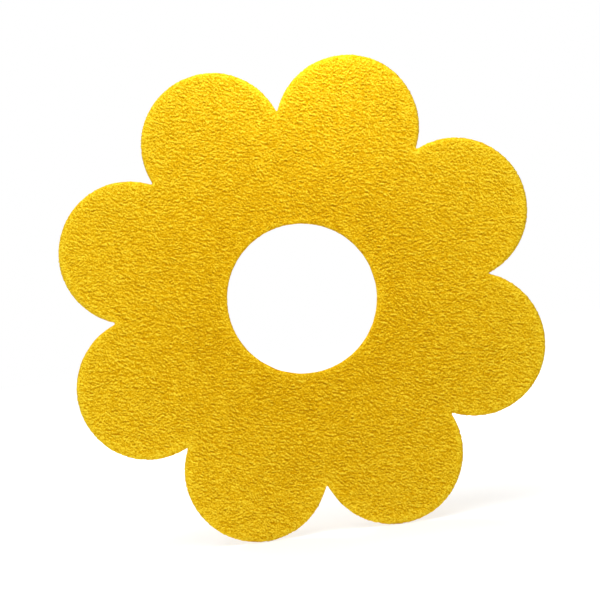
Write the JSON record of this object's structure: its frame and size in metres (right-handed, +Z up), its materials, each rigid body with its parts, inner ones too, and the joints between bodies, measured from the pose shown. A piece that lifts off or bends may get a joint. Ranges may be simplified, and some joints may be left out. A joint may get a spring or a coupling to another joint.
{
  "type": "elizabethan collar",
  "caption": "Soft flower-shaped Elizabethan collar: a flat felt sheet with round petals, a neck opening and a slit, closed behind by hook-and-loop straps.",
  "frame": {"origin": "centre of the neck opening, on the back face of the felt sheet", "axes": "upright as worn: +Z up, -Y through the neck opening towards the front of the collar, +X to the right seen from the front; the slit runs down -Z"},
  "size_m": [0.227, 0.0086, 0.227],
  "materials": {
    "felt": "thick yellow needle-punched felt with a short fuzzy surface",
    "webbing": "woven yellow webbing",
    "hook_tape": "off-white nylon hook tape",
    "loop_tape": "off-white looped pile",
    "thread": "yellow sewing thread"
  },
  "bodies": {
    "crown": {"felt_crown": "felt"},
    "left_flap": {"felt_left_flap": "felt", "inner_loop_patch": "loop_tape", "inner_loop_stitching": "thread", "outer_loop_patch": "loop_tape", "outer_loop_stitching": "thread"},
    "right_flap": {"felt_right_flap": "felt", "inner_strap_root": "webbing", "inner_strap_stitching": "thread", "outer_strap_root": "webbing", "outer_strap_stitching": "thread"},
    "inner_strap": {"inner_strap_flap": "webbing", "inner_hook_patch": "hook_tape", "inner_hook_stitching": "thread"},
    "outer_strap": {"outer_strap_flap": "webbing", "outer_hook_patch": "hook_tape", "outer_hook_stitching": "thread"}
  },
  "joints": [
    {"name": "left_flap_bend", "type": "hinge", "parent": "crown", "child": "left_flap", "pos_m": [-0.064, -0.004, 0], "axis": [-1, 0, 0], "range_deg": [0, 120], "stiffness_Nm_per_rad": 0.04},
    {"name": "right_flap_bend", "type": "hinge", "parent": "crown", "child": "right_flap", "pos_m": [0.064, 0, 0], "axis": [1, 0, 0], "range_deg": [0, 120], "stiffness_Nm_per_rad": 0.04},
    {"name": "inner_strap_peel", "type": "hinge", "parent": "right_flap", "child": "inner_strap", "pos_m": [-0.0067, 0.0043, -0.0497], "axis": [0, 0, -1], "range_deg": [0, 135]},
    {"name": "outer_strap_peel", "type": "hinge", "parent": "right_flap", "child": "outer_strap", "pos_m": [-0.0067, 0.0043, -0.0771], "axis": [0, 0, -1], "range_deg": [0, 135]}
  ]
}
